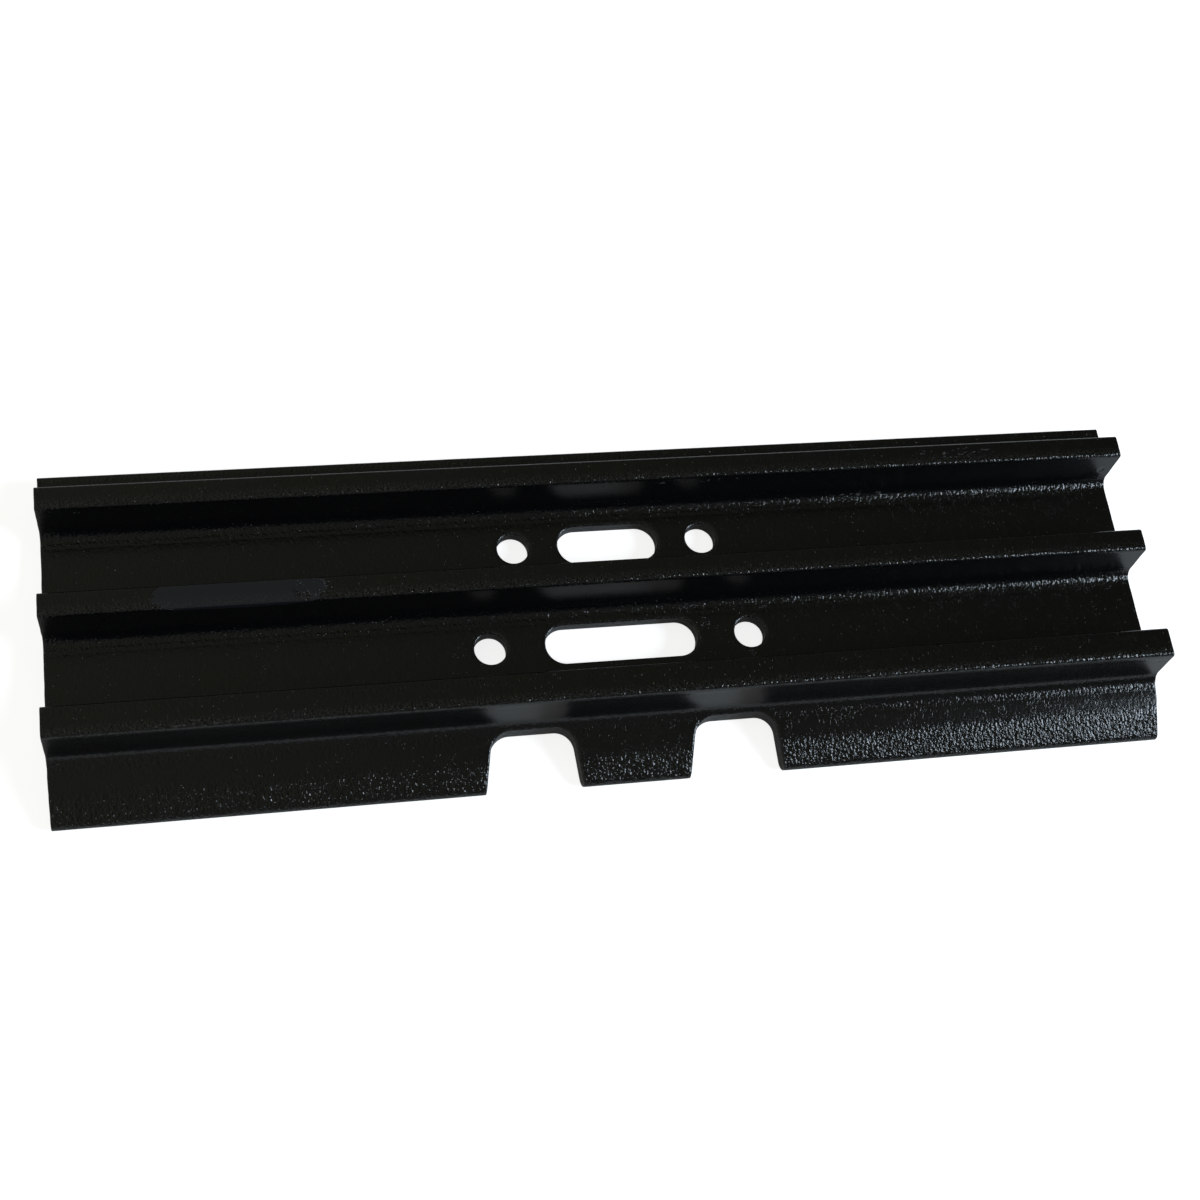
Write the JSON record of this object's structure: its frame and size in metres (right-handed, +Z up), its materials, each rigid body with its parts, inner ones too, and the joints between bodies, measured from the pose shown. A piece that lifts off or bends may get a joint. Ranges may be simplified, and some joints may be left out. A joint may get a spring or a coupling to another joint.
{
  "type": "excavator track shoe",
  "caption": "Black-painted rolled steel track shoe: a flat plate with grouser bars along it, bolt holes, mud slots, a notched lip bent down and a raised lip behind.",
  "frame": {"origin": "middle of the bolt pattern, on the flat under face that seats on the track links", "axes": "+X along the shoe's length; +Y across it, from the notched lip that is bent down to the raised lip; +Z up out of the grouser bars' side, away from the links"},
  "size_m": [0.6, 0.1845, 0.0461],
  "materials": {
    "black_paint": "glossy black paint over scaly hot-rolled steel"
  },
  "bodies": {
    "root": {"track_shoe": "black_paint"}
  },
  "joints": []
}
